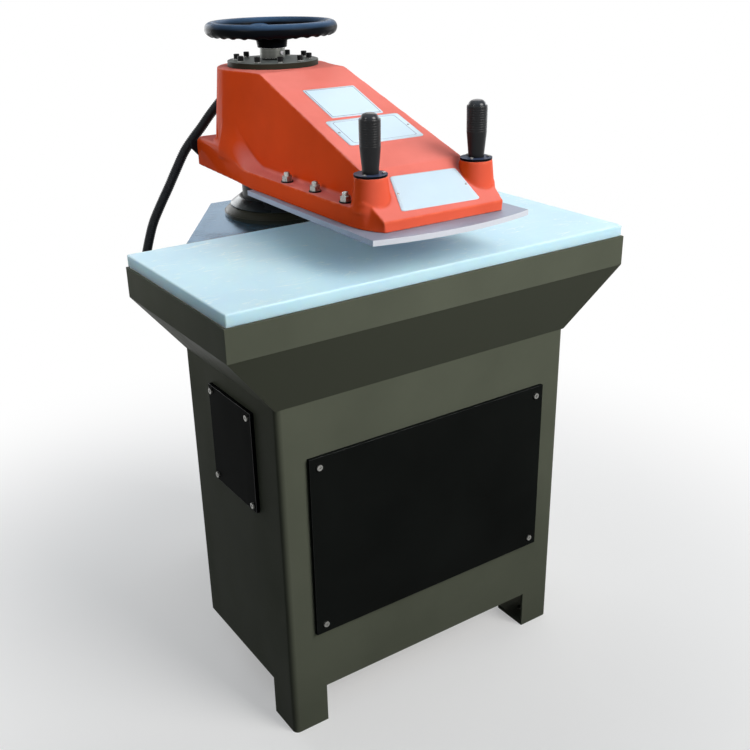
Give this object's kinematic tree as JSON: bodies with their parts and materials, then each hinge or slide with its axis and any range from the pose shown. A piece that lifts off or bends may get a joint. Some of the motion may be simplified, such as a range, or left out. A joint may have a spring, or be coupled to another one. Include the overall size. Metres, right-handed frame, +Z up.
{
  "type": "swing-arm cutting press",
  "caption": "Floor-standing swing-arm cutting press: flared cabinet on legs, cutting board, column, cast arm with platen, push-button grips, and a handwheel that sets the arm's height.",
  "frame": {"origin": "on the floor under the middle of the machine's bounding box", "axes": "+Z up, the front of the table faces -Y, +X to the right of somebody facing the back of the machine"},
  "size_m": [0.9, 0.824, 1.3303],
  "materials": {
    "olive_paint": "satin",
    "black_paint": "satin",
    "orange_paint": "gloss",
    "machined_steel": "ground",
    "dark_steel": "blackened",
    "bright_fastener": "zinc plated",
    "black_fastener": "black oxide",
    "board_plastic": "matt",
    "black_plastic": "moulded",
    "wheel_plastic": "polished",
    "bronze": "turned",
    "black_rubber": "moulded",
    "grey_iron": "as cast",
    "motor_paint": "gloss",
    "pump_aluminium": "cast"
  },
  "bodies": {
    "base": {"cabinet": "olive_paint", "rear_casing": "olive_paint", "foot_plates": "olive_paint", "floor_tray": "olive_paint", "bed_plate": "machined_steel", "cutting_board": "board_plastic", "front_cover": "black_paint", "front_cover_screws": "bright_fastener", "side_cover": "black_paint", "side_cover_screws": "bright_fastener", "column_guide": "dark_steel", "upper_bush": "bronze", "lower_bush": "bronze", "dust_collar": "grey_iron", "wiper_ring": "black_rubber", "cylinder_head": "dark_steel", "cylinder_barrel": "dark_steel", "cylinder_base": "dark_steel", "head_screws": "black_fastener", "oil_tank": "olive_paint", "tank_lid": "olive_paint", "motor_frame": "motor_paint", "bell_housing": "pump_aluminium", "pump": "pump_aluminium", "valve_block": "grey_iron", "solenoids": "black_plastic", "oil_pipes": "machined_steel", "control_plate": "machined_steel", "switchgear": "black_plastic", "hose_gland": "black_plastic", "hose": "black_rubber"},
    "rotor": {"motor_rotor": "machined_steel"},
    "ram": {"piston": "machined_steel", "piston_rod": "machined_steel"},
    "column": {"column": "dark_steel", "column_foot": "dark_steel", "foot_screws": "black_fastener", "column_plug": "dark_steel", "thrust_washers": "bronze", "screw_nut": "bronze", "feather_key": "machined_steel"},
    "arm": {"arm_casting": "orange_paint", "platen": "machined_steel", "platen_studs": "bright_fastener", "platen_nuts": "bright_fastener", "platen_washers": "bright_fastener", "top_flange": "dark_steel", "flange_screws": "black_fastener", "flange_washers": "bright_fastener", "thrust_bearing": "machined_steel", "handle_discs": "black_plastic", "handle_screws": "bright_fastener", "grips": "black_plastic", "switches": "black_plastic", "hose_port": "black_plastic"},
    "wheel": {"adjusting_screw": "machined_steel", "wheel_collar": "machined_steel", "handwheel": "wheel_plastic"},
    "left_button": {"left_button": "black_plastic"},
    "right_button": {"right_button": "black_plastic"}
  },
  "joints": [
    {"name": "motor_spin", "type": "hinge", "parent": "base", "child": "rotor", "pos_m": [0, -0.1865, 0.404], "axis": [1, 0, 0], "continuous": true},
    {"name": "press_stroke", "type": "slide", "parent": "base", "child": "ram", "axis": [0, 0, 1], "range_m": [-0.04, 0], "deforming": ["hose"]},
    {"name": "arm_swing", "type": "hinge", "parent": "ram", "child": "column", "pos_m": [0, 0.2465, 0], "axis": [0, 0, 1], "range_deg": [-70, 70], "deforming": ["hose"]},
    {"name": "arm_height", "type": "slide", "parent": "column", "child": "arm", "axis": [0, 0, 1], "range_m": [-0.015, 0.045], "deforming": ["hose"]},
    {"name": "wheel_turn", "type": "hinge", "parent": "arm", "child": "wheel", "pos_m": [0, 0.2465, 0], "axis": [0, 0, 1], "range_deg": [-540, 1620]},
    {"name": "left_press", "type": "slide", "parent": "arm", "child": "left_button", "axis": [0, 0, 1], "range_m": [-0.004, 0], "stiffness_N_per_m": 600, "springref_m": 0.004},
    {"name": "right_press", "type": "slide", "parent": "arm", "child": "right_button", "axis": [0, 0, 1], "range_m": [-0.004, 0], "stiffness_N_per_m": 600, "springref_m": 0.004}
  ],
  "couplings": [
    {"joint": "wheel_turn", "follows": "arm_height", "rad_per_m": 628.32}
  ]
}
